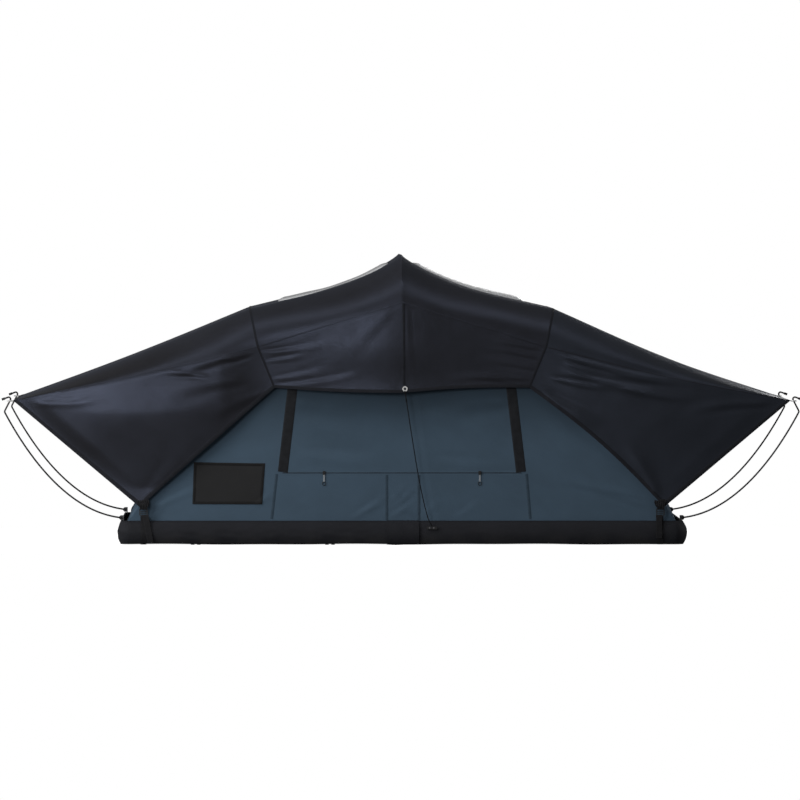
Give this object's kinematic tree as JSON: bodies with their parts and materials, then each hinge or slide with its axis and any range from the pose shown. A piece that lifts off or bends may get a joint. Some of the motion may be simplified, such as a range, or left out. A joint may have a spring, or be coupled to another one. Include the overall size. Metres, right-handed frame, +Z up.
{
  "type": "roof top tent",
  "caption": "Fold-out soft roof top tent with hinged base halves, folding hoops, canvas body, dark rain fly and awnings held out by spring rods.",
  "frame": {"origin": "ground plane below the middle of the fold line, at the centre of the unfolded base", "axes": "+X along the unfolded tent, from the rail half to the folding half; +Y across it, away from the pictured side; +Z up"},
  "size_m": [3.3414, 1.9428, 1.21],
  "materials": {
    "frame_alu": "satin",
    "deck_panel": "matte",
    "rail_alu": "satin",
    "steel": "satin",
    "tube_alu": "satin",
    "black_plastic": "satin",
    "rod_steel": "satin",
    "rubber": "matte",
    "canvas": "matte",
    "fly_sheet": "matte",
    "skirt_pvc": "satin",
    "webbing": "matte",
    "foam_mattress": "matte",
    "clear_pvc": "gloss",
    "bright_ring": "polished",
    "elastic": "matte"
  },
  "bodies": {
    "left_base": {"left_base_frame": "frame_alu", "left_deck": "deck_panel", "roof_rails": "rail_alu", "rail_bolts": "steel", "left_skirt": "skirt_pvc", "left_mattress": "foam_mattress", "left_hinge_leaves": "steel", "hinge_pins": "steel", "left_rod_sockets": "steel", "left_corner_straps": "webbing", "left_corner_buckles": "black_plastic"},
    "right_base": {"right_base_frame": "frame_alu", "right_deck": "deck_panel", "right_skirt": "skirt_pvc", "right_mattress": "foam_mattress", "right_hinge_leaves": "steel", "right_rod_sockets": "steel", "right_corner_straps": "webbing", "right_corner_buckles": "black_plastic", "ladder_brackets": "rail_alu", "tension_clips": "black_plastic", "tension_cords": "elastic"},
    "left_bow": {"left_bow_legs": "tube_alu", "left_bow_top": "tube_alu", "left_bow_feet": "black_plastic", "left_awning": "fly_sheet", "left_tip_grommets": "bright_ring"},
    "centre_bow": {"centre_bow_legs": "tube_alu", "centre_bow_top": "tube_alu", "centre_bow_feet": "black_plastic", "roof_left": "canvas", "roof_right": "canvas", "fly_left": "fly_sheet", "fly_right": "fly_sheet", "left_skylight": "clear_pvc", "right_skylight": "clear_pvc", "fly_eyelets": "bright_ring"},
    "right_bow": {"right_bow_legs": "tube_alu", "right_bow_top": "tube_alu", "right_bow_feet": "black_plastic", "right_awning": "fly_sheet", "right_tip_grommets": "bright_ring"},
    "left_rods": {"left_rods": "rod_steel", "left_rod_caps": "rubber"},
    "right_rods": {"right_rods": "rod_steel", "right_rod_caps": "rubber"},
    "left_canvas": {"near_wall_left": "canvas", "far_wall_left": "canvas", "left_end_wall": "canvas", "left_door": "canvas", "left_zip_guards": "webbing"},
    "right_canvas": {"near_wall_right": "canvas", "far_wall_right": "canvas", "right_end_wall": "canvas", "right_door": "canvas", "right_zip_guards": "webbing"},
    "near_left_slider": {"near_left_zip_slider": "black_plastic"},
    "far_left_slider": {"far_left_zip_slider": "black_plastic"},
    "near_right_slider": {"near_right_zip_slider": "black_plastic"},
    "far_right_slider": {"far_right_zip_slider": "black_plastic"}
  },
  "joints": [
    {"name": "base_fold", "type": "hinge", "parent": "left_base", "child": "right_base", "pos_m": [0, 0, 0.161], "axis": [0, -1, 0], "range_deg": [0, 180], "deforming": ["near_wall_left", "far_wall_left", "near_wall_right", "far_wall_right", "left_end_wall", "right_end_wall", "left_door", "right_door", "left_zip_guards", "right_zip_guards", "roof_left", "roof_right", "fly_left", "fly_right", "left_skylight", "right_skylight", "fly_eyelets", "left_awning", "right_awning", "left_tip_grommets", "right_tip_grommets", "tension_cords"]},
    {"name": "left_bow_swing", "type": "hinge", "parent": "left_base", "child": "left_bow", "pos_m": [0, 0, 0.161], "axis": [0, -1, 0], "range_deg": [0, 53.2]},
    {"name": "centre_bow_swing", "type": "hinge", "parent": "left_base", "child": "centre_bow", "pos_m": [0, 0, 0.161], "axis": [0, -1, 0], "range_deg": [0, 90.1]},
    {"name": "right_bow_swing", "type": "hinge", "parent": "right_base", "child": "right_bow", "pos_m": [0, 0, 0.161], "axis": [0, -1, 0], "range_deg": [-53.2, 0]},
    {"name": "left_rod_stow", "type": "hinge", "parent": "left_base", "child": "left_rods", "pos_m": [-1.17, 0, 0.113], "axis": [0, 1, 0], "range_deg": [0, 133.6]},
    {"name": "right_rod_stow", "type": "hinge", "parent": "right_base", "child": "right_rods", "pos_m": [1.17, 0, 0.113], "axis": [0, -1, 0], "range_deg": [0, 133.6]},
    {"name": "left_canvas_fold", "type": "hinge", "parent": "left_base", "child": "left_canvas", "pos_m": [0, 0, 0.161], "axis": [0, -1, 0], "range_deg": [0, 25.1]},
    {"name": "right_canvas_fold", "type": "hinge", "parent": "right_base", "child": "right_canvas", "pos_m": [0, 0, 0.161], "axis": [0, -1, 0], "range_deg": [-25.1, 0]},
    {"name": "near_left_zip", "type": "slide", "parent": "left_canvas", "child": "near_left_slider", "axis": [1, 0, 0], "range_m": [-0.14, 0.29]},
    {"name": "far_left_zip", "type": "slide", "parent": "left_canvas", "child": "far_left_slider", "axis": [1, 0, 0], "range_m": [-0.14, 0.29]},
    {"name": "near_right_zip", "type": "slide", "parent": "right_canvas", "child": "near_right_slider", "axis": [-1, 0, 0], "range_m": [-0.14, 0.29]},
    {"name": "far_right_zip", "type": "slide", "parent": "right_canvas", "child": "far_right_slider", "axis": [-1, 0, 0], "range_m": [-0.14, 0.29]}
  ],
  "couplings": [
    {"joint": "left_bow_swing", "follows": "base_fold", "ratio": 0.295},
    {"joint": "centre_bow_swing", "follows": "base_fold", "ratio": 0.5},
    {"joint": "right_bow_swing", "follows": "base_fold", "ratio": -0.295},
    {"joint": "left_rod_stow", "follows": "base_fold", "ratio": 0.74167},
    {"joint": "right_rod_stow", "follows": "base_fold", "ratio": 0.74167},
    {"joint": "left_canvas_fold", "follows": "base_fold", "ratio": 0.13889},
    {"joint": "right_canvas_fold", "follows": "base_fold", "ratio": -0.13889}
  ]
}
